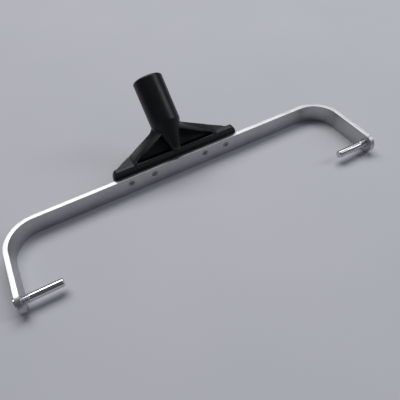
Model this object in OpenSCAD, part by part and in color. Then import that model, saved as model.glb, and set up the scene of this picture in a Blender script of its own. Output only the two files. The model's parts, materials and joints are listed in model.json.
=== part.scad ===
// Double-arm roller frame: a flat aluminium bar bent to a U, a moulded handle socket
// bolted to its back, and two headed pins that screw in from the ends to carry the roller.
// X runs along the bar, +Y towards the handle, +Z up. The origin is the middle of the
// bar's underside.

/* [Bar] */
// Clear width between the inner faces of the two arms
inner_width = 450; // [300:10:700]
// Height of the flat bar
bar_h = 25; // [22:1:32]
// Thickness of the flat bar
bar_t = 6; // [5:0.5:8]
// Inner radius of the two bends
bend_r = 34; // [15:1:60]
// Distance from the bar's inner face to the axis of the roller pins
arm_reach = 92; // [75:1:150]

/* [Roller pins] */
// Diameter of the smooth shank that carries the roller
shank_d = 9.2; // [6:0.2:9.6]
// How far a pin stands out of the arm's inner face
pin_reach = 43; // [30:1:60]
// Diameter of the thread that passes through the arm
thread_d = 10; // [9.8:0.2:12]
// Length of thread that shows inside the arm
neck_l = 7.5; // [4:0.5:12]
// Diameter of the domed head
pin_head_d = 14.5; // [13:0.5:18]
// Height of the domed head
pin_head_h = 3.4; // [3:0.2:5]
// Outside diameter of the washer under the head
pin_washer_d = 16.5; // [15:0.5:20]
// Thickness of the washer under the head
pin_washer_t = 1; // [0.8:0.2:1.6]

/* [Handle socket] */
// Outside diameter of the socket tube
tube_d = 38.8; // [36:0.2:42]
// Diameter of the hole for the handle
handle_d = 29; // [24:0.5:30]
// Depth of the hole for the handle
handle_depth = 60; // [40:1:60]
// Angle of the tube above the horizontal
tube_tilt = 43.5; // [40:0.5:47]
// Length of the moulded foot along the bar
foot_l = 175.5; // [173:0.5:190]
// Height of the top of the foot above the floor
foot_top = 36; // [35:0.5:38]
// Thickness of the foot, front to back
foot_t = 7; // [6:0.5:9]

/* [Fasteners] */
// Screw diameter
screw_d = 4; // [3:0.5:5]
// Length of the screws, head included
screw_l = 20; // [19:1:25]
// Distance of the inner pair of screws from the middle
screw_x1 = 36.5; // [32:0.5:40]
// Distance of the outer pair of screws from the middle
screw_x2 = 68.5; // [60:0.5:74]
// Height of the screws above the bar's lower edge
screw_z = 16; // [9:0.5:16]

/* [Hidden] */
$fn = 96;
eps = 0.05;                      // running gap between pieces that move or are bolted
half_w = inner_width / 2;
bar_back = bar_t / 2;            // y of the face that the foot is bolted to
pin_y = -bar_t / 2 - arm_reach;
pin_z = bar_h / 2;
bend_y = -bar_t / 2 - bend_r;    // centre line of the bends

// The fan of the socket is laid out along the tube axis. Its local x is the object's x,
// its local y (run) goes up the tube and its local z (rise) goes up and forward.
fan_y = bar_back + 6.9;          // a point on the tube axis above the foot
fan_z = 40.3;
fan_front = bar_back + 0.4;      // the ribs start just behind the bar's back face
fan_back = 8.8;                  // the flat back of the fan lies this far behind the tube axis
panel_back = 3.2;                // and the sunk panels this far
nose_r = 7.5;                    // ball at the tip of the cone below the tube
cone_angle = 20.5;               // half angle of that cone
cone_end = 28;                   // run where the cone reaches the tube's diameter
tube_end = 87.7;                 // run of the tube's mouth
rim_r = 1.6;                     // bevel at the mouth
shoulder_r = 7;                  // fillet between the fan's edge and the tube

// Section corners of the fan, as [x, y, z]
rib_foot = [59.4, fan_front, foot_top - 0.1];
rib_top = [9.2, bar_back + 12.2, 60.3];
edge_low = [84.5, bar_back + 8.9, 30.6];
edge_high = [15, bar_back + 33, 53.2];
foot_back = bar_back + foot_t;
foot_lift = 0.8;                 // the foot ends this far above the floor
foot_chamfer = 2;                // chamfers on its lower corners
foot_corner_w = 6.5;             // and rounding of its upper corners
foot_corner_h = 14;
root_z = 28;                     // the fan's back meets the back of the foot here
root_in = 3;                     // the fan starts this far inside the foot
ledge = 0.6;                     // the rim's step lies this far inside the foot's back
rim_w = 6.3;                     // the raised rim along the foot and up the ribs
rim_step = 0.8;                  // the rim stands this far above the flanks behind it
rib_face = 1.2;                  // width of the narrow front faces of the ribs
groove_t = 1.8;                  // wall left in front of the groove along the foot
groove_x = 5;                    // the groove stops this far from the middle

// Screws
screw_fit = 0.4;                 // the screws' holes are wider than the screws by this
csk_d = 8;
csk_h = 2.2;
csk_sink = 0.25;                 // the heads lie this far below the bar's face
washer_d = 9;
washer_t = 0.8;
nut_af = 7;
nut_h = 3.2;
screw_at = [-screw_x2, -screw_x1, screw_x1, screw_x2];

function mix3(a, b, t) = a + (b - a) * t;

// Turns a shape built on +Z so that it points along +Y, at the place of one screw
module along_y(x, y, z) {
    translate([x, y, z]) rotate([-90, 0, 0]) children();
}

// Mirrors a shape built on the +X side to the chosen side
module on_side(side) {
    if (side > 0) children();
    else mirror([1, 0, 0]) children();
}

// Places a shape in the fan's own axes
module in_fan() {
    translate([0, fan_y, fan_z]) rotate([tube_tilt, 0, 0]) children();
}

// Tube-aligned cylinder between two runs
module along_tube(from, to, d1, d2) {
    in_fan() translate([0, from, 0]) rotate([-90, 0, 0]) cylinder(h = to - from, d1 = d1, d2 = d2);
}

/* ---- frame bar ---- */
module arm() {
    translate([half_w - bend_r, bend_y, 0])
        rotate_extrude(angle = 90) translate([bend_r, 0]) square([bar_t, bar_h]);
    translate([half_w, pin_y, 0]) cube([bar_t, bend_y - pin_y, bar_h]);
    translate([half_w, pin_y, pin_z]) rotate([0, 90, 0]) cylinder(h = bar_t, d = bar_h);
}

module pin_hole() {
    translate([half_w - 1, pin_y, pin_z]) rotate([0, 90, 0]) cylinder(h = bar_t + 2, d = thread_d + 2 * eps);
}

module screw_hole() {
    translate([0, 0, -1]) cylinder(h = bar_t + 2, d = screw_d + screw_fit);
    translate([0, 0, -1]) cylinder(h = 1 + csk_sink, d = csk_d + 2 * eps);
    translate([0, 0, csk_sink]) cylinder(h = csk_h, d1 = csk_d + 2 * eps, d2 = screw_d + 2 * eps);
}

module frame_bar() {
    color([0.78, 0.79, 0.8]) difference() {
        union() {
            translate([bend_r - half_w, -bar_t / 2, 0]) cube([2 * (half_w - bend_r), bar_t, bar_h]);
            for (side = [-1, 1]) on_side(side) arm();
        }
        for (side = [-1, 1]) on_side(side) pin_hole();
        for (x = screw_at) along_y(x, -bar_t / 2, screw_z) screw_hole();
    }
}

/* ---- handle socket ---- */
// Outline of the foot with its rounded upper corners, seen from the front
function foot_corner(side) = [
    for (a = [0 : 15 : 90])
        [side * (foot_l / 2 - foot_corner_w * (1 - cos(a))), foot_top - foot_corner_h * (1 - sin(a))]
];

module foot() {
    right = foot_corner(1);
    left = foot_corner(-1);
    outline = concat(
        [[foot_l / 2 - foot_chamfer, foot_lift], [foot_l / 2, foot_lift + foot_chamfer]],
        right,
        [for (i = [len(left) - 1 : -1 : 0]) left[i]],
        [[-foot_l / 2, foot_lift + foot_chamfer], [foot_chamfer - foot_l / 2, foot_lift]]
    );
    translate([0, foot_back, 0]) rotate([90, 0, 0]) linear_extrude(foot_t) polygon(outline);
}

// Points on the front edge of a rib and on the outer edge of the fan, at a distance x
// from the middle. Near the tube the outer edge curves up into the shoulder.
tube_side = sqrt(pow(tube_d / 2, 2) - pow(fan_back, 2));
shoulder_x = tube_side + shoulder_r;
flank_steps = 12;

function shoulder(x) = x >= shoulder_x ? 0
    : shoulder_r - sqrt(pow(shoulder_r, 2) - pow(shoulder_x - max(x, tube_side), 2));
function rib_at(x) = mix3(rib_foot, rib_top, (rib_foot[0] - x) / (rib_foot[0] - rib_top[0]));
function edge_line(x) = mix3(edge_low, edge_high, (edge_low[0] - x) / (edge_low[0] - edge_high[0]));
function edge_at(x) = edge_line(max(x, tube_side)) + shoulder(x) * [0, cos(tube_tilt), sin(tube_tilt)];

// One upright section through the fan: root, front edge, rim, flank, outer edge, back
function fan_section(side, x, front, edge) = [
    [side * x, bar_back + root_in, root_z],
    [side * x, fan_front, foot_top - 4],
    [side * x, front[1], front[2]],
    [side * x, max(front[1] + rim_w, foot_back - ledge) - rim_step, front[2]],
    [side * x, max(front[1] + rim_w, foot_back - ledge), front[2] - rim_step],
    [side * x, edge[1], edge[2]],
    [side * x, foot_back - 0.5, root_z - 0.5]
];

// Distances from the middle at which one half of the fan is sectioned
rib_x = concat(
    [for (i = [0 : flank_steps]) rib_foot[0] + (shoulder_x - rib_foot[0]) * i / flank_steps],
    [for (a = [15 : 15 : 90]) shoulder_x - shoulder_r * sin(a)],
    [rib_top[0]]
);

function fan_half(side) = concat(
    [fan_section(side, edge_low[0], [0, fan_front, foot_top - 2.4], edge_low)],
    [fan_section(side, edge_low[0] - 4, [0, fan_front, foot_top - 0.2], edge_at(edge_low[0] - 4))],
    [for (x = rib_x) fan_section(side, x, rib_at(x), edge_at(x))]
);

module fan_solid() {
    left = fan_half(-1);
    right = fan_half(1);
    rows = concat(left, [for (i = [len(right) - 1 : -1 : 0]) right[i]]);
    n = len(rows);
    m = len(rows[0]);
    points = [for (row = rows, p = row) p];
    sides = [for (i = [0 : n - 2], j = [0 : m - 1], k = [0, 1])
        let (a = i * m + j, b = i * m + (j + 1) % m)
        k == 0 ? [a, b, b + m] : [a, b + m, a + m]];
    caps = [[for (j = [m - 1 : -1 : 0]) j], [for (j = [0 : m - 1]) (n - 1) * m + j]];
    polyhedron(points, concat(sides, caps));
}

// Run of a point in the fan's own axes
function run(p) = (p[1] - fan_y) * cos(tube_tilt) + (p[2] - fan_z) * sin(tube_tilt);

// The sunk triangle between the two ribs, cut square to the fan. It stops short of the
// ribs' front edges by the width of their narrow front faces.
module pocket() {
    slope = (rib_foot[0] - rib_top[0]) / (run(rib_top) - run(rib_foot));
    low = run(rib_foot) - 6;
    low_x = rib_foot[0] + 6 * slope - rib_face * sqrt(1 + slope * slope);
    in_fan() translate([0, 0, -panel_back]) linear_extrude(40)
        polygon([[-low_x, low], [low_x, low], [0, low + low_x / slope]]);
}

// The groove along the top of the foot, on each side of the nose
module groove() {
    for (side = [-1, 1]) on_side(side) translate([0, 0, root_z + 0.7]) linear_extrude(20)
        polygon([[groove_x, bar_back + groove_t], [56, bar_back + groove_t],
                 [46, foot_back - ledge], [groove_x, foot_back - ledge]]);
}

// The tube with the cone that closes its lower end, and the ball nose of the cone
module tube() {
    cone_r = nose_r * cos(cone_angle);
    cone_start = cone_end - (tube_d / 2 - cone_r) / tan(cone_angle);
    in_fan() rotate([-90, 0, 0]) rotate_extrude() polygon([
        [0, cone_start], [cone_r, cone_start], [tube_d / 2, cone_end],
        [tube_d / 2, tube_end - rim_r], [tube_d / 2 - rim_r, tube_end], [0, tube_end]
    ]);
    in_fan() translate([0, cone_start + nose_r * sin(cone_angle), 0]) sphere(nose_r);
}

module handle_socket() {
    color([0.1, 0.1, 0.11]) difference() {
        union() {
            difference() {
                union() {
                    foot();
                    difference() {
                        fan_solid();
                        pocket();
                    }
                }
                groove();
            }
            tube();
        }
        along_tube(tube_end - handle_depth, tube_end + 1, handle_d, handle_d);
        along_tube(tube_end - rim_r, tube_end + 0.1, handle_d, handle_d + 2 * rim_r);
        for (x = screw_at) along_y(x, bar_back - 1, screw_z) cylinder(h = foot_t + 2, d = screw_d + screw_fit);
    }
}

/* ---- bracket fasteners ---- */
module bracket_screw(i) {
    color([0.75, 0.76, 0.78]) along_y(screw_at[i], -bar_t / 2 + csk_sink, screw_z) difference() {
        union() {
            cylinder(h = csk_h, d1 = csk_d, d2 = screw_d);
            translate([0, 0, csk_h - 0.01]) cylinder(h = screw_l - csk_h, d = screw_d);
        }
        for (a = [0, 90]) rotate([0, 0, a + 45]) translate([-2.2, -0.45, -1]) cube([4.4, 0.9, 2.2]);
        translate([0, 0, -0.01]) cylinder(h = 1.6, d1 = 2.4, d2 = 0.8);
    }
}

module bracket_washer(i) {
    color([0.7, 0.71, 0.73]) along_y(screw_at[i], foot_back, screw_z) difference() {
        cylinder(h = washer_t, d = washer_d);
        translate([0, 0, -1]) cylinder(h = washer_t + 2, d = screw_d + 0.3);
    }
}

module bracket_nut(i) {
    color([0.7, 0.71, 0.73]) along_y(screw_at[i], foot_back + washer_t, screw_z) difference() {
        intersection() {
            cylinder(h = nut_h, d = nut_af / cos(30), $fn = 6);
            cylinder(h = nut_h, d1 = nut_af / cos(30) + 2 * nut_h, d2 = nut_af);
        }
        translate([0, 0, -1]) cylinder(h = nut_h + 2, d = screw_d + 2 * eps);
    }
}

/* ---- roller pins ---- */
// Built with the arm's outer face at zero and the axis pointing out of the arm
module at_pin(side) {
    on_side(side) translate([half_w + bar_t, pin_y, pin_z]) rotate([0, 90, 0]) children();
}

module pin_washer(side) {
    color([0.72, 0.73, 0.75]) at_pin(side) difference() {
        translate([0, 0, eps]) cylinder(h = pin_washer_t, d = pin_washer_d);
        translate([0, 0, -1]) cylinder(h = pin_washer_t + 2, d = thread_d + 2 * eps);
    }
}

module roller_pin(side) {
    head_z = pin_washer_t + 2 * eps;
    thread_l = head_z + bar_t + neck_l;
    tip_r = 2;
    dome_r = (pow(pin_head_d / 2, 2) + pow(pin_head_h - 1, 2)) / (2 * (pin_head_h - 1));
    shank_end = -bar_t - pin_reach;
    color([0.8, 0.81, 0.83]) at_pin(side) difference() {
        union() {
            intersection() {
                translate([0, 0, head_z]) cylinder(h = pin_head_h, d = pin_head_d);
                translate([0, 0, head_z + pin_head_h - dome_r]) sphere(dome_r);
            }
            translate([0, 0, head_z - thread_l]) cylinder(h = thread_l, d = thread_d);
            translate([0, 0, shank_end + tip_r]) cylinder(h = -shank_end - tip_r, d = shank_d);
            translate([0, 0, shank_end]) cylinder(h = tip_r, d1 = shank_d - 2 * tip_r, d2 = shank_d);
        }
        translate([0, 0, head_z + pin_head_h - 2.4]) cylinder(h = 4, d = 5 / cos(30), $fn = 6);
    }
}

module bracket_screw_1() { bracket_screw(0); }
module bracket_screw_2() { bracket_screw(1); }
module bracket_screw_3() { bracket_screw(2); }
module bracket_screw_4() { bracket_screw(3); }
module bracket_washer_1() { bracket_washer(0); }
module bracket_washer_2() { bracket_washer(1); }
module bracket_washer_3() { bracket_washer(2); }
module bracket_washer_4() { bracket_washer(3); }
module bracket_nut_1() { bracket_nut(0); }
module bracket_nut_2() { bracket_nut(1); }
module bracket_nut_3() { bracket_nut(2); }
module bracket_nut_4() { bracket_nut(3); }
module left_pin_washer() { pin_washer(-1); }
module right_pin_washer() { pin_washer(1); }
module left_pin() { roller_pin(-1); }
module right_pin() { roller_pin(1); }

frame_bar();
handle_socket();
bracket_screw_1();
bracket_screw_2();
bracket_screw_3();
bracket_screw_4();
bracket_washer_1();
bracket_washer_2();
bracket_washer_3();
bracket_washer_4();
bracket_nut_1();
bracket_nut_2();
bracket_nut_3();
bracket_nut_4();
left_pin_washer();
right_pin_washer();
left_pin();
right_pin();
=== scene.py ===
"""Looks of a double-arm roller frame: satin aluminium bar, moulded black handle socket,
countersunk bracket screws and two threaded roller pins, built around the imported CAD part.

Every length is in metres in the CAD frame: +X along the bar, +Y towards the handle, +Z up.
"""

import json
import math

import bmesh
import bpy
from mathutils import Matrix, Vector


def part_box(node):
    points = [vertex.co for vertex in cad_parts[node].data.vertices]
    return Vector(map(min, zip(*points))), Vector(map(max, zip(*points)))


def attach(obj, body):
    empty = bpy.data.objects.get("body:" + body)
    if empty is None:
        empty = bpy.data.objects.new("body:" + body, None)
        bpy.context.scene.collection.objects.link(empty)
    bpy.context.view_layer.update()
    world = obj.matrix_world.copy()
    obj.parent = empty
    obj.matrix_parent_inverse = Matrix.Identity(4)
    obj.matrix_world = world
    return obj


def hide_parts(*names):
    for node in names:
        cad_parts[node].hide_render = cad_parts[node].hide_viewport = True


MM = 0.001
TAU = 2 * math.pi

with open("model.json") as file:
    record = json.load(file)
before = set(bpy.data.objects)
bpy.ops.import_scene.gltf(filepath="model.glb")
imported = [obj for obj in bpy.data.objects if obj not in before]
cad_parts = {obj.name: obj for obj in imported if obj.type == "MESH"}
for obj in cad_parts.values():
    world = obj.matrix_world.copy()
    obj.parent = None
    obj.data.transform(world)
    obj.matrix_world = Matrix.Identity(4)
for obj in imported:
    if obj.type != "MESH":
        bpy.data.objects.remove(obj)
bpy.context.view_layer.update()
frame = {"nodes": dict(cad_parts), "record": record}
nodes = frame["nodes"]
handle_bore = next(m for m in frame["record"]["mounts"] if m["name"] == "handle_bore")

# Sizes of the bar. Its outer box comes from the frame.
bar_lo, bar_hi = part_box("frame_bar")
BAR_HALF = bar_hi.x
BAR_BACK = bar_hi.y
BAR_H = bar_hi.z
BAR_T = 6 * MM
BEND_R = 34 * MM
BAR_EDGE_R = 0.5 * MM
PIN_Y = bar_lo.y + BAR_H / 2
PIN_Z = BAR_H / 2

# Sizes of the pins, their threads and washers
PIN_HEAD_R = 7.25 * MM
PIN_HEAD_H = 3.4 * MM
PIN_HEAD_RIM = 1 * MM
PIN_WASHER_T = 1 * MM
PIN_NECK = 7.5 * MM
SHANK_R = 4.6 * MM
THREAD_R = 5 * MM
PITCH = 1.5 * MM
PIN_TIP_R = 1.4 * MM
HEX_AF = 5 * MM
HEX_DEPTH = 2.4 * MM
GAP = 0.05 * MM

# Sizes of the bracket fasteners
SCREW_R = 2 * MM
SCREW_HEAD_R = 4 * MM
SCREW_HEAD_H = 2.2 * MM
SCREW_PITCH = 0.7 * MM
SCREW_TIP = 0.5 * MM
SCREW_PLAY = 0.15 * MM
CROSS_LENGTH = 4.4 * MM
CROSS_WIDTH = 0.9 * MM
CROSS_DEPTH = 1.6 * MM
NUT_AF = 7 * MM
NUT_CHAMFER_DEG = 30
WASHER_EDGE_R = 0.12 * MM
PIN_WASHER_EDGE_R = 0.25 * MM
SCREW_NODES = [f"bracket_screw_{i}" for i in (1, 2, 3, 4)]

# Sizes of the handle socket
TUBE_R = 19.4 * MM
BORE_R = handle_bore["dims"]["r_mm"] * MM
TUBE_RIM = 1.6 * MM
TUBE_NEAR = 0.3 * MM
SOCKET_VOXEL = 0.45 * MM
SOCKET_SOFTENING = 12
SOCKET_KEEP = 0.3

# The angle from which an edge stays sharp, and the steps along the bar's arms, bends and ends
SHARP_DEG = 35
ARM_STEPS = 12
BEND_STEPS = 36
STRAIGHT_STEPS = 48
END_STEPS = 16


# ---- mesh helpers ----

def finished(name, bm, sharp_deg=SHARP_DEG):
    """Turns a bmesh into a smooth-shaded object with sharp edges kept sharp."""
    bmesh.ops.remove_doubles(bm, verts=bm.verts, dist=0.001 * MM)
    bmesh.ops.recalc_face_normals(bm, faces=bm.faces)
    mesh = bpy.data.meshes.new(name)
    bm.to_mesh(mesh)
    bm.free()
    for polygon in mesh.polygons:
        polygon.use_smooth = True
    mesh.set_sharp_from_angle(angle=math.radians(sharp_deg))
    piece = bpy.data.objects.new(name, mesh)
    bpy.context.scene.collection.objects.link(piece)
    return piece


def applied(piece):
    """Applies all modifiers of a piece to its mesh."""
    depsgraph = bpy.context.evaluated_depsgraph_get()
    mesh = bpy.data.meshes.new_from_object(piece.evaluated_get(depsgraph))
    piece.modifiers.clear()
    piece.data = mesh
    return piece


def cut(piece, cutters):
    """Cuts closed shapes out of a piece and removes them from the scene."""
    for cutter in cutters:
        modifier = piece.modifiers.new("cut", "BOOLEAN")
        modifier.operation = "DIFFERENCE"
        modifier.solver = "EXACT"
        modifier.object = cutter
    applied(piece)
    for cutter in cutters:
        bpy.data.objects.remove(cutter)
    piece.data.set_sharp_from_angle(angle=math.radians(SHARP_DEG))
    return piece


def weigh_normals(piece):
    modifier = piece.modifiers.new("flat faces", "WEIGHTED_NORMAL")
    modifier.keep_sharp = True


def turned(name, profile, steps=64, sharp_deg=SHARP_DEG):
    """A closed body of revolution about Z. profile(angle) lists (radius, height) points
    from the axis and back to it, the same number at every angle."""
    bm = bmesh.new()
    rows = []
    for i in range(steps):
        angle = TAU * i / steps
        rows.append([bm.verts.new((r * math.cos(angle), r * math.sin(angle), z))
                     for r, z in profile(angle)])
    for row, after in zip(rows, rows[1:] + rows[:1]):
        for j in range(len(row) - 1):
            bm.faces.new((row[j], row[j + 1], after[j + 1], after[j]))
    return finished(name, bm, sharp_deg)


def ring(name, inner, outer, height, edge, steps=64):
    """A flat washer with rounded outer edges and a small chamfer in its hole."""
    def profile(angle):
        points = [(inner, edge / 2), (inner + edge / 2, 0)]
        points += arc(outer - edge, edge, edge, -90, 0, 4)
        points += arc(outer - edge, height - edge, edge, 0, 90, 4)
        points += [(inner + edge / 2, height), (inner, height - edge / 2), (inner, edge / 2)]
        return points
    return turned(name, profile, steps)


def arc(r, z, radius, start_deg, end_deg, steps):
    """Points of an arc about (r, z) in a profile's plane."""
    angles = [math.radians(start_deg + (end_deg - start_deg) * i / steps) for i in range(steps + 1)]
    return [(r + radius * math.cos(a), z + radius * math.sin(a)) for a in angles]


def hexagon_r(angle, across_flats):
    """Distance from the middle of a hexagon to its side, in the direction of an angle."""
    return across_flats / 2 / math.cos((angle + TAU / 12) % (TAU / 6) - TAU / 12)


def thread_r(angle, z, crest, pitch, fade):
    """Radius of a right-hand thread. fade runs from 0, no thread, to 1, full depth."""
    turn = (z / pitch - angle / TAU) % 1
    ridge = min(max(1.6 * abs(2 * turn - 1) - 0.3, 0), 1)
    return crest - 0.58 * pitch * (1 - ridge) * fade


def along(direction, origin):
    """Turns +Z to a direction and moves the origin there."""
    turn = Vector((0, 0, 1)).rotation_difference(Vector(direction)).to_matrix().to_4x4()
    return Matrix.Translation(origin) @ turn


# ---- material helpers ----

class Surface:
    """A principled material with short calls for its nodes."""

    def __init__(self, name, **sockets):
        self.material = bpy.data.materials.new(name)
        self.material.use_nodes = True
        self.tree = self.material.node_tree
        self.shader = self.tree.nodes["Principled BSDF"]
        for socket, value in sockets.items():
            self.shader.inputs[socket.replace("_", " ")].default_value = value

    def add(self, kind, **settings):
        made = self.tree.nodes.new(kind)
        for key, value in settings.items():
            setattr(made, key, value)
        return made

    def link(self, source, target):
        self.tree.links.new(source, target)

    def coordinates(self, kind="Object", scale=(1, 1, 1)):
        mapping = self.add("ShaderNodeMapping")
        mapping.inputs["Scale"].default_value = scale
        self.link(self.add("ShaderNodeTexCoord").outputs[kind], mapping.inputs["Vector"])
        return mapping.outputs["Vector"]

    def noise(self, where, scale, detail=3, roughness=0.5):
        made = self.add("ShaderNodeTexNoise")
        made.inputs["Scale"].default_value = scale
        made.inputs["Detail"].default_value = detail
        made.inputs["Roughness"].default_value = roughness
        self.link(where, made.inputs["Vector"])
        return made.outputs["Fac"]

    def spread(self, value, low, high, to_low=0.0, to_high=1.0):
        made = self.add("ShaderNodeMapRange")
        numbers = {"From Min": low, "From Max": high, "To Min": to_low, "To Max": to_high}
        for name, number in numbers.items():
            made.inputs[name].default_value = number
        self.link(value, made.inputs["Value"])
        return made.outputs["Result"]

    def math(self, operation, first, second):
        made = self.add("ShaderNodeMath", operation=operation)
        for socket, value in zip(made.inputs, (first, second)):
            if isinstance(value, (int, float)):
                socket.default_value = value
            else:
                self.link(value, socket)
        return made.outputs["Value"]

    def blend(self, factor, first, second):
        made = self.add("ShaderNodeMix", data_type="RGBA")
        self.link(factor, made.inputs["Factor"])
        for socket, value in ((made.inputs[6], first), (made.inputs[7], second)):
            if isinstance(value, tuple):
                socket.default_value = (*value, 1)
            else:
                self.link(value, socket)
        return made.outputs[2]

    def colour(self, source):
        self.link(source, self.shader.inputs["Base Color"])

    def roughness(self, source):
        self.link(source, self.shader.inputs["Roughness"])

    def bump(self, height, distance, strength=1.0):
        made = self.add("ShaderNodeBump")
        made.inputs["Strength"].default_value = strength
        made.inputs["Distance"].default_value = distance
        self.link(height, made.inputs["Height"])
        self.link(made.outputs["Normal"], self.shader.inputs["Normal"])


# ---- materials ----

def aluminium():
    """Extruded flat bar: fine grain along its length, faint mottling, specks and scratches."""
    s = Surface("satin_aluminium", Metallic=1.0)
    grain = s.noise(s.coordinates("UV", (30, 2600, 1)), 1, 4, 0.65)
    body = s.coordinates()
    cloud = s.noise(body, 45, 4, 0.6)
    speck = s.spread(s.noise(body, 1500, 2), 0.66, 0.74)
    scratch = s.spread(s.noise(s.coordinates("UV", (260, 1400, 1)), 1, 1), 0.70, 0.735)
    dull = (0.44, 0.445, 0.46)
    clean = (0.54, 0.545, 0.56)
    bright_grain = (0.66, 0.665, 0.68)
    dark_speck = (0.22, 0.22, 0.23)
    tone = s.blend(s.spread(cloud, 0.3, 0.7), dull, clean)
    tone = s.blend(s.spread(grain, 0.3, 0.8, 0, 0.5), tone, bright_grain)
    s.colour(s.blend(s.math("MULTIPLY", speck, 0.55), tone, dark_speck))
    rough = s.math("ADD", s.spread(grain, 0.2, 0.8, 0.36, 0.46), s.spread(cloud, 0.3, 0.7, -0.03, 0.05))
    s.roughness(s.math("SUBTRACT", rough, s.math("MULTIPLY", scratch, 0.12)))
    relief = s.math("SUBTRACT", grain, s.math("MULTIPLY", s.math("MAXIMUM", speck, scratch), 1.2))
    s.bump(relief, 0.012 * MM, 0.8)
    return s.material


def plastic():
    """Near-black moulded plastic: fine spark texture, uneven tone, painted highlights on sharp edges
    and scuffs.
    """
    s = Surface("black_moulded_plastic", Metallic=0.0, IOR=1.38)
    body = s.coordinates()
    spark = s.noise(body, 1900, 2, 0.6)
    patch = s.noise(body, 60, 4, 0.6)
    edge = s.add("ShaderNodeNewGeometry").outputs["Pointiness"]
    # Painted highlight: sharp edges (high pointiness) get a lighter colour that stands in for light
    # caught by the rims
    painted_edge_highlight = s.math("MULTIPLY", s.spread(edge, 0.512, 0.56), s.spread(patch, 0.35, 0.65, 0.2, 1))
    scuff = s.spread(s.noise(s.coordinates("Object", (900, 120, 900)), 1, 2), 0.70, 0.76)
    deep_black = (0.0060, 0.0062, 0.0075)
    faded_black = (0.0100, 0.0102, 0.0118)
    # Colour of the painted highlight along sharp edges
    edge_highlight_grey = (0.075, 0.075, 0.080)
    scuff_grey = (0.06, 0.06, 0.062)
    tone = s.blend(s.spread(patch, 0.35, 0.7), deep_black, faded_black)
    tone = s.blend(s.math("MULTIPLY", painted_edge_highlight, 0.6), tone, edge_highlight_grey)
    s.colour(s.blend(s.math("MULTIPLY", scuff, 0.25), tone, scuff_grey))
    fine = s.spread(spark, 0.3, 0.7, -0.04, 0.04)
    rough = s.math("ADD", s.spread(patch, 0.3, 0.7, 0.32, 0.40), fine)
    s.roughness(s.math("SUBTRACT", rough, s.math("MULTIPLY", painted_edge_highlight, 0.08)))
    s.bump(spark, 0.02 * MM, 0.5)
    return s.material


def plated_steel(name, bright, rough, mottle):
    """Zinc- or chrome-plated steel with fine turning marks and a little tarnish."""
    s = Surface(name, Metallic=1.0)
    body = s.coordinates()
    marks = s.noise(s.coordinates("Object", (9000, 500, 500)), 1, 2)
    cloud = s.noise(body, 320, 4, 0.6)
    dark = tuple(c * (1 - mottle) for c in bright)
    s.colour(s.blend(s.spread(cloud, 0.35, 0.75), bright, dark))
    tarnished = s.spread(cloud, 0.3, 0.8, rough, rough * 1.6)
    s.roughness(s.math("ADD", tarnished, s.spread(marks, 0.3, 0.7, 0, 0.05)))
    s.bump(marks, 0.004 * MM, 0.5)
    return s.material


def studio_floor():
    """Pale bluish-grey backdrop paper with faint mottling."""
    s = Surface("pale_floor", Specular_IOR_Level=0.25)
    body = s.coordinates()
    cloud = s.noise(body, 3.0, 3)
    fibre = s.noise(body, 900, 3, 0.7)
    # Random large mottling of the paper's own tone, between a dimmer and a paler grey
    dim_paper = (0.50, 0.51, 0.555)
    pale = (0.53, 0.54, 0.58)
    dark_fibre = (0.44, 0.45, 0.49)
    tone = s.blend(s.spread(cloud, 0.3, 0.7), dim_paper, pale)
    s.colour(s.blend(s.spread(fibre, 0.3, 0.7, 0, 0.15), tone, dark_fibre))
    s.roughness(s.spread(fibre, 0.3, 0.7, 0.55, 0.65))
    s.bump(fibre, 0.02 * MM, 0.3)
    return s.material


# ---- bar ----

def bar_path():
    """Points along the bar's centre line from the left pin to the right pin, as
    (length so far, x, y, outward x, outward y). Outward is away from the roller."""
    middle_r = BEND_R + BAR_T / 2
    bend_x = BAR_HALF - BAR_T - BEND_R
    bend_y = BAR_BACK - BAR_T - BEND_R
    arm = bend_y - PIN_Y
    quarter = middle_r * math.pi / 2
    rows = [(arm * t, -bend_x - middle_r, PIN_Y + arm * t, -1, 0) for t in steps_to(ARM_STEPS)]
    for t in steps_to(BEND_STEPS)[1:]:
        a = math.pi - t * math.pi / 2
        x = -bend_x + middle_r * math.cos(a)
        y = bend_y + middle_r * math.sin(a)
        rows.append((arm + quarter * t, x, y, math.cos(a), math.sin(a)))
    start = arm + quarter
    for t in steps_to(STRAIGHT_STEPS)[1:]:
        run = 2 * bend_x * t
        rows.append((start + run, -bend_x + run, bend_y + middle_r, 0, 1))
    total = 2 * start + 2 * bend_x
    left_half = rows[:ARM_STEPS + BEND_STEPS + 1]
    rows += [(total - s, -x, y, -nx, ny) for s, x, y, nx, ny in reversed(left_half)][1:]
    return rows


def steps_to(count):
    return [i / count for i in range(count + 1)]


def bar_outline():
    """The upper half of the unrolled bar's outline: (path row, length past it, height above
    the middle, outward direction along the bar, outward direction upwards)."""
    rows = bar_path()
    half = BAR_H / 2
    quarter = [math.radians(90 * t) for t in steps_to(END_STEPS)]

    def rounded_end(row, side, a):
        return row, side * half * math.cos(a), half * math.sin(a), side * math.cos(a), math.sin(a)

    left = [rounded_end(rows[0], -1, a) for a in quarter]
    straight = [(row, 0, half, 0, 1) for row in rows[1:-1]]
    right = [rounded_end(rows[-1], 1, a) for a in reversed(quarter)]
    return left + straight + right


def edge_section():
    """Section of the bar's edge from the inner face to the outer: (inset, depth)."""
    flat = BAR_T / 2 - BAR_EDGE_R
    front = [(BAR_EDGE_R - x, -flat - y) for x, y in arc(0, 0, BAR_EDGE_R, 90, 0, 4)]
    return front + [(inset, -depth) for inset, depth in reversed(front)]


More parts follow.
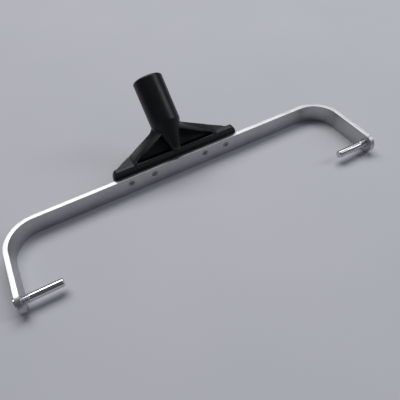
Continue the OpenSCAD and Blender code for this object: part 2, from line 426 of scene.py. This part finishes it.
def bar_mesh():
    bm = bmesh.new()
    grain = bm.loops.layers.uv.new("grain")
    section = edge_section()
    where = {}

    def vertex(row, past, height, along_x, up, inset, depth, side):
        s, x, y, nx, ny = row
        run = past - inset * along_x
        rise = side * (height - inset * up)
        point = (x + nx * depth + ny * run, y + ny * depth - nx * run, PIN_Z + rise)
        made = bm.verts.new(point)
        where[made] = (s + run, rise + depth)
        return made

    strips = {}
    for side in (1, -1):
        strips[side] = [[vertex(*place, inset, depth, side) for inset, depth in section]
                        for place in bar_outline()]
    faces = []
    for side in (1, -1):
        for row, after in zip(strips[side], strips[side][1:]):
            faces += [(row[j], row[j + 1], after[j + 1], after[j]) for j in range(len(section) - 1)]
    upper, lower = strips[1], strips[-1]
    for j in (0, -1):
        for i in range(len(upper) - 1):
            faces.append((upper[i][j], upper[i + 1][j], lower[i + 1][j], lower[i][j]))
    for corners in faces:
        if len({tuple(v.co) for v in corners}) > 2:
            face = bm.faces.new(corners)
            for loop in face.loops:
                loop[grain].uv = where[loop.vert]
    return bm


def screw_hole_cutter(head_y, x, z):
    """A countersunk hole with a slightly rounded mouth."""
    face = head_y - (BAR_BACK - BAR_T)
    beyond = 2 * MM
    mouth = SCREW_HEAD_R + SCREW_PLAY
    wide = mouth + 0.45 * MM
    hole = SCREW_R + SCREW_PLAY

    def profile(angle):
        return [(0, -beyond), (wide, -beyond), (wide, -face - 0.01 * MM),
                (mouth + 0.15 * MM, -face + 0.15 * MM), (mouth, -face + 0.4 * MM),
                (mouth, 0.4 * MM), (hole, SCREW_HEAD_H + 0.05 * MM), (hole, BAR_T + beyond),
                (0, BAR_T + beyond)]

    cutter = turned("screw_hole_cutter", profile, 64)
    cutter.matrix_world = along((0, 1, 0), (x, head_y, z))
    return cutter


def pin_hole_cutter(side):
    """A plain hole for the pin with chamfered mouths."""
    hole = THREAD_R + GAP
    lead = 0.5 * MM
    beyond = 1 * MM

    def profile(angle):
        return [(0, -BAR_T - beyond), (hole + lead + beyond, -BAR_T - beyond),
                (hole, -BAR_T + lead), (hole, -lead), (hole + lead + beyond, beyond), (0, beyond)]

    cutter = turned("pin_hole_cutter", profile, 96)
    cutter.matrix_world = along((side, 0, 0), (side * BAR_HALF, PIN_Y, PIN_Z))
    return cutter


def middle(node):
    lo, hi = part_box(node)
    return (lo + hi) / 2


def build_bar():
    bar = finished("bar", bar_mesh(), 30)
    cutters = [pin_hole_cutter(side) for side in (-1, 1)]
    for name in SCREW_NODES:
        centre = middle(name)
        cutters.append(screw_hole_cutter(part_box(name)[0].y, centre.x, centre.z))
    cut(bar, cutters)
    weigh_normals(bar)
    bar.data.materials.clear()
    bar.data.materials.append(aluminium())
    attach(bar, "frame")
    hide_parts("frame_bar")


# ---- handle socket ----

def remeshed(node, name, voxel, relax, keep):
    """A fine copy of a CAD node with its edges softened, as moulded parts have them."""
    bm = bmesh.new()
    bm.from_mesh(nodes[node].data)
    piece = finished(name, bm)
    modifier = piece.modifiers.new("even", "REMESH")
    modifier.mode = "VOXEL"
    modifier.voxel_size = voxel
    modifier = piece.modifiers.new("soften", "SMOOTH")
    modifier.factor = 0.5
    modifier.iterations = relax
    modifier = piece.modifiers.new("lighten", "DECIMATE")
    modifier.ratio = keep
    return applied(piece)


def round_tube(piece):
    """Puts the tube's outside and its bore exactly on their cylinders."""
    axis = Vector(handle_bore["axis"])
    foot = Vector(handle_bore["pos_m"])
    mouth = max((v.co - foot).dot(axis) for v in piece.data.vertices)
    facings = [vertex.normal.copy() for vertex in piece.data.vertices]
    for vertex, facing in zip(piece.data.vertices, facings):
        run = (vertex.co - foot).dot(axis)
        centre = foot + axis * run
        out = vertex.co - centre
        for radius, sense in ((TUBE_R, 1), (BORE_R, -1)):
            near = abs(out.length - radius) < TUBE_NEAR and run < mouth - TUBE_RIM - TUBE_NEAR
            if near and sense * facing.dot(out) > 0.98 * radius:
                vertex.co = centre + out.normalized() * radius


def build_socket():
    socket = remeshed("handle_socket", "socket", SOCKET_VOXEL, SOCKET_SOFTENING, SOCKET_KEEP)
    round_tube(socket)
    for polygon in socket.data.polygons:
        polygon.use_smooth = True
    socket.data.materials.clear()
    socket.data.materials.append(plastic())
    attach(socket, "frame")
    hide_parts("handle_socket")


# ---- bracket fasteners ----

def tapered_blade(length, width, depth, angle):
    """A wedge-shaped cutter for one slot of a cross recess, narrower at its bottom."""
    bm = bmesh.new()
    signs = ((-1, -1), (1, -1), (1, 1), (-1, 1))
    top = [(x * length / 2, y * width / 2, -0.5 * MM) for x, y in signs]
    low = [(x * length * 0.28, y * width * 0.38, depth) for x, y in signs]
    corners = [bm.verts.new(p) for p in top + low]
    bm.faces.new(corners[:4])
    bm.faces.new(corners[4:])
    for i in range(4):
        j = (i + 1) % 4
        bm.faces.new((corners[i], corners[j], corners[4 + j], corners[4 + i]))
    bmesh.ops.rotate(bm, verts=bm.verts, cent=(0, 0, 0), matrix=Matrix.Rotation(angle, 3, "Z"))
    return finished("blade_cutter", bm)


def screw_shape(length):
    """A countersunk cross-recess screw with its head's face at zero, pointing along +Z."""
    edge_r = 0.15 * MM

    def profile(angle):
        points = [(0, 0.02 * MM), (SCREW_HEAD_R - 0.5 * MM, 0)]
        points += arc(SCREW_HEAD_R - edge_r, edge_r, edge_r, -90, 30, 4)
        points.append((SCREW_R, SCREW_HEAD_H))
        rows = round((length - SCREW_HEAD_H - SCREW_TIP) / (SCREW_PITCH / 6))
        for i in range(1, rows + 1):
            z = SCREW_HEAD_H + i * SCREW_PITCH / 6
            fade = min(1, (z - SCREW_HEAD_H) / SCREW_PITCH)
            points.append((thread_r(angle, z, SCREW_R, SCREW_PITCH, fade), z))
        return points + [(SCREW_R - SCREW_TIP, length), (0, length)]

    screw = turned("screw", profile, 40)
    angles = (math.pi / 4, 3 * math.pi / 4)
    blades = [tapered_blade(CROSS_LENGTH, CROSS_WIDTH, CROSS_DEPTH, a) for a in angles]
    return cut(screw, blades)


def nut_shape(height):
    """A hexagon nut with chamfered corners, standing on zero."""
    hole = SCREW_R + GAP
    lead = 0.3 * MM
    flat_r = NUT_AF / 2
    face_r = flat_r * 0.96

    def profile(angle):
        side = hexagon_r(angle, NUT_AF)
        corner_drop = (side - flat_r) * math.tan(math.radians(NUT_CHAMFER_DEG))
        drop = max(0.0, corner_drop) + 0.03 * MM
        return [(hole, lead), (hole + lead, 0), (face_r, 0), (side, drop),
                (side, height - drop), (face_r, height), (hole + lead, height),
                (hole, height - lead), (hole, lead)]

    return turned("nut", profile, 72, 25)


def build_fasteners(steel):
    lo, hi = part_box(SCREW_NODES[0])
    patterns = {"screw": screw_shape(hi.y - lo.y)}
    lo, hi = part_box("bracket_washer_1")
    washer_r = (hi.x - lo.x) / 2
    patterns["washer"] = ring("washer", SCREW_R + SCREW_PLAY, washer_r, hi.y - lo.y, WASHER_EDGE_R, 48)
    lo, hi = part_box("bracket_nut_1")
    patterns["nut"] = nut_shape(hi.y - lo.y)
    for kind, pattern in patterns.items():
        pattern.data.materials.clear()
        pattern.data.materials.append(steel)
        for i in (1, 2, 3, 4):
            node = f"bracket_{kind}_{i}"
            centre = middle(node)
            piece = bpy.data.objects.new(f"{kind}_{i}", pattern.data)
            bpy.context.scene.collection.objects.link(piece)
            piece.matrix_world = along((0, 1, 0), (centre.x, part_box(node)[0].y, centre.z))
            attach(piece, "frame")
            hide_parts(node)
        bpy.data.objects.remove(pattern)


# ---- roller pins ----

def dome_z(r, top):
    """Height of the head's dome at a distance from its axis."""
    rise = PIN_HEAD_H - PIN_HEAD_RIM
    dome_r = (PIN_HEAD_R ** 2 + rise ** 2) / (2 * rise)
    return top - dome_r + math.sqrt(dome_r ** 2 - r ** 2)


def pin_shape(name, length):
    """A domed hex-socket pin: head outwards on +Z, the arm's outer face at zero."""
    under = PIN_WASHER_T + 2 * GAP
    top = under + PIN_HEAD_H
    neck_end = -BAR_T - PIN_NECK
    tip_z = top - length

    def profile(angle):
        hexagon = hexagon_r(angle, HEX_AF)
        mouth = hexagon + 0.3 * MM
        floor = top - HEX_DEPTH
        points = [(0, floor), (hexagon - 0.15 * MM, floor), (hexagon, floor + 0.15 * MM)]
        points.append((hexagon, dome_z(hexagon, top) - 0.3 * MM))
        points.append((mouth - 0.1 * MM, dome_z(mouth, top) - 0.08 * MM))
        edge = PIN_HEAD_R - 0.3 * MM
        dome = [mouth + (edge - mouth) * t for t in steps_to(8)]
        points += [(r, dome_z(r, top)) for r in dome]
        points += arc(PIN_HEAD_R - 0.35 * MM, dome_z(edge, top) - 0.33 * MM, 0.35 * MM, 50, 0, 3)
        points += arc(PIN_HEAD_R - 0.25 * MM, under + 0.25 * MM, 0.25 * MM, 0, -90, 3)
        points.append((THREAD_R, under))
        rows = round((under - neck_end) / (PITCH / 10))
        for i in range(1, rows + 1):
            z = under - i * PITCH / 10
            fade = min(1, max(0, (z - neck_end) / PITCH), (under - z) / PITCH)
            grown = min(1, max(0, (z - neck_end) / (0.6 * PITCH)))
            crest = SHANK_R + (THREAD_R - SHANK_R) * grown
            points.append((thread_r(angle, z, crest, PITCH, fade), z))
        points.append((SHANK_R, neck_end - 0.1 * MM))
        points += arc(SHANK_R - PIN_TIP_R, tip_z + PIN_TIP_R, PIN_TIP_R, 0, -90, 8)
        return points + [(0, tip_z)]

    return turned(name, profile, 72)


def build_pin(side, name, chrome):
    lo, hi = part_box(f"{name}_pin")
    pin = pin_shape(f"{name}_roller_pin", hi.x - lo.x)
    pin.matrix_world = along((side, 0, 0), (side * BAR_HALF, PIN_Y, PIN_Z))
    pin.data.materials.append(chrome)
    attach(pin, f"{name}_pin")
    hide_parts(f"{name}_pin")
    lo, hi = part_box(f"{name}_pin_washer")
    outer = (hi.y - lo.y) / 2
    washer = ring(f"{name}_washer", THREAD_R + GAP, outer, hi.x - lo.x, PIN_WASHER_EDGE_R)
    start = lo.x if side > 0 else hi.x
    washer.matrix_world = along((side, 0, 0), (start, PIN_Y, PIN_Z))
    washer.data.materials.append(chrome)
    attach(washer, f"{name}_washer")
    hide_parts(f"{name}_pin_washer")


# ---- studio ----

FLOOR_HALF = 4
FLOOR_STEPS = 24
FLOOR_Z = -0.1 * MM
WORLD_COLOUR = (0.80, 0.86, 1.0, 1)
WORLD_STRENGTH = 0.11
CAMERA_PLACE = (-0.13422, -0.35793, 0.37006)
CAMERA_RIGHT = Vector((0.87949, -0.47110, -0.06751))
CAMERA_DOWN = Vector((-0.39428, -0.64183, -0.65772))
CAMERA_LENS_MM = 35.65
CAMERA_SENSOR_MM = 36


def build_floor():
    bm = bmesh.new()
    bmesh.ops.create_grid(bm, x_segments=FLOOR_STEPS, y_segments=FLOOR_STEPS, size=FLOOR_HALF)
    floor = finished("floor", bm)
    floor.location.z = FLOOR_Z
    floor.data.materials.append(studio_floor())


def area_light(name, place, target, size, watts, colour):
    light = bpy.data.lights.new(name, "AREA")
    light.shape = "RECTANGLE"
    light.size, light.size_y = size
    light.energy = watts
    light.color = colour
    lamp = bpy.data.objects.new(name, light)
    bpy.context.scene.collection.objects.link(lamp)
    lamp.location = place
    lamp.rotation_euler = (Vector(target) - Vector(place)).to_track_quat("-Z", "Y").to_euler()


def build_lights():
    world = bpy.data.worlds.new("studio")
    world.use_nodes = True
    background = world.node_tree.nodes["Background"]
    background.inputs["Color"].default_value = WORLD_COLOUR
    background.inputs["Strength"].default_value = WORLD_STRENGTH
    bpy.context.scene.world = world
    area_light("overhead", (0.5, 1.7, 3.1), (0, 0, 0), (3.8, 1.9), 110, (1.0, 0.99, 0.98))
    area_light("window", (1.9, -0.75, 1.4), (0, 0, 0.05), (0.5, 1.4), 11, (0.93, 0.97, 1.0))


def build_camera():
    """The camera stands in front of the frame's left half and looks down at the socket."""
    camera = bpy.data.cameras.new("camera")
    camera.sensor_width = CAMERA_SENSOR_MM
    camera.lens = CAMERA_LENS_MM
    camera.clip_start = 0.01
    eye = bpy.data.objects.new("camera", camera)
    bpy.context.scene.collection.objects.link(eye)
    back = CAMERA_RIGHT.cross(-CAMERA_DOWN)
    turn = Matrix((CAMERA_RIGHT, -CAMERA_DOWN, back)).transposed()
    eye.matrix_world = Matrix.Translation(CAMERA_PLACE) @ turn.to_4x4()
    bpy.context.scene.camera = eye
    bpy.context.scene.view_settings.view_transform = "Standard"


# The photo shows dull bracket screws, a mirror-bright left pin and a softer right one
ZINC_TONE = (0.34, 0.34, 0.35)
POLISHED_TONE = (0.70, 0.71, 0.73)
SATIN_TONE = (0.64, 0.65, 0.67)

build_camera()
build_floor()
build_lights()
build_bar()
build_socket()
build_fasteners(plated_steel("zinc_steel", ZINC_TONE, 0.22, 0.45))
build_pin(-1, "left", plated_steel("polished_chrome", POLISHED_TONE, 0.06, 0.12))
build_pin(1, "right", plated_steel("satin_chrome", SATIN_TONE, 0.20, 0.15))
